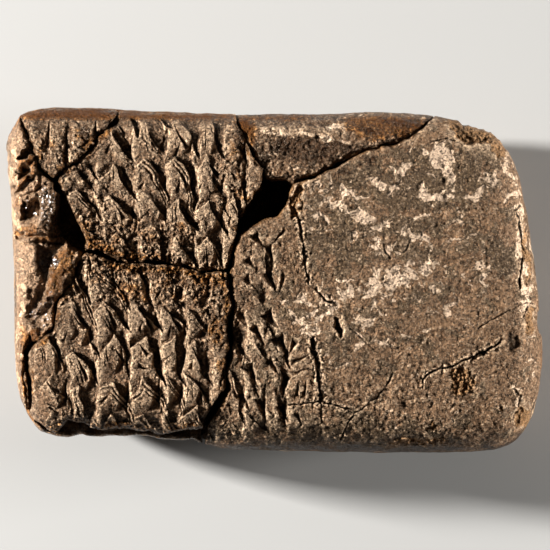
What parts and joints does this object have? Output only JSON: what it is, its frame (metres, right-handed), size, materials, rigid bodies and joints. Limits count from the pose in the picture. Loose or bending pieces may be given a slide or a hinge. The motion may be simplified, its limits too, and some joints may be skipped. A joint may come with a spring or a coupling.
{
  "type": "cuneiform tablet",
  "caption": "Pillow-shaped clay tablet, broken and refitted, with rows of wedge strokes at one end and a bare face beside them; lies on its flat underside.",
  "frame": {"origin": "centre of the bounding box in plan, at the level of the flat spot on the underside", "axes": "+X along the tablet's length, away from the writing; +Y across it; +Z out of the written face, which lies up"},
  "size_m": [0.0826, 0.053, 0.0241],
  "materials": {
    "grey_brown_clay": "bare fired clay, grey-brown, matt, with paler worn patches",
    "written_clay": "inscribed clay, brown, matt, worn pale on its ridges and dark in its strokes",
    "stained_clay": "clay with orange-brown staining, slightly smoother",
    "core_clay": "broken clay with a dark brown, slightly glossy skin of old consolidant"
  },
  "bodies": {
    "root": {"main_fragment": "grey_brown_clay", "left_core_fragment": "core_clay", "upper_inscribed_flake": "written_clay", "lower_inscribed_flake": "written_clay", "corner_flake": "written_clay", "top_edge_fragment": "stained_clay"}
  },
  "joints": []
}
